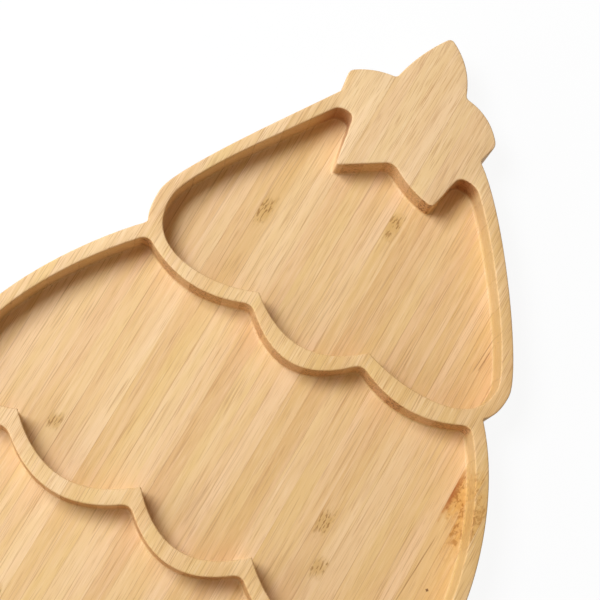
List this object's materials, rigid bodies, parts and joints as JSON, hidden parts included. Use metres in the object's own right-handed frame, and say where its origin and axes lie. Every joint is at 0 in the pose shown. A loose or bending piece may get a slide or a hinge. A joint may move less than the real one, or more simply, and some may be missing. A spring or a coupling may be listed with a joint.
{
  "type": "serving tray",
  "caption": "Shallow divided serving tray in the outline of a fir tree with a star, routed from a glued bamboo panel to hold snacks in scalloped pockets.",
  "frame": {"origin": "Middle of the bounding box, on the flat underside that rests on the table.", "axes": "+Y runs along the tree's axis toward the star's tip, +X to the right as the tray is read with the star up, +Z out of the open pockets."},
  "size_m": [0.25, 0.3084, 0.018],
  "materials": {
    "bamboo": "satin"
  },
  "bodies": {
    "root": {"left_strip_01": "bamboo", "left_strip_02": "bamboo", "left_strip_03": "bamboo", "left_strip_04": "bamboo", "left_strip_05": "bamboo", "left_strip_06": "bamboo", "left_strip_07": "bamboo", "left_strip_08": "bamboo", "left_strip_09": "bamboo", "left_strip_10": "bamboo", "left_strip_11": "bamboo", "left_strip_12": "bamboo", "left_strip_13": "bamboo", "left_strip_14": "bamboo", "left_strip_15": "bamboo", "left_strip_16": "bamboo", "left_strip_17_lower": "bamboo", "left_strip_17_upper": "bamboo", "left_strip_18": "bamboo", "left_strip_19": "bamboo", "left_strip_20": "bamboo", "right_strip_01": "bamboo", "right_strip_02": "bamboo", "right_strip_03": "bamboo", "right_strip_04": "bamboo", "right_strip_05": "bamboo", "right_strip_06": "bamboo", "right_strip_07": "bamboo", "right_strip_08": "bamboo", "right_strip_09": "bamboo", "right_strip_10": "bamboo", "right_strip_11": "bamboo", "right_strip_12": "bamboo", "right_strip_13": "bamboo", "right_strip_14": "bamboo", "right_strip_15": "bamboo", "right_strip_16_lower": "bamboo", "right_strip_16_upper": "bamboo", "right_strip_17": "bamboo", "right_strip_18": "bamboo", "right_strip_19": "bamboo", "right_strip_20": "bamboo"}
  },
  "joints": []
}
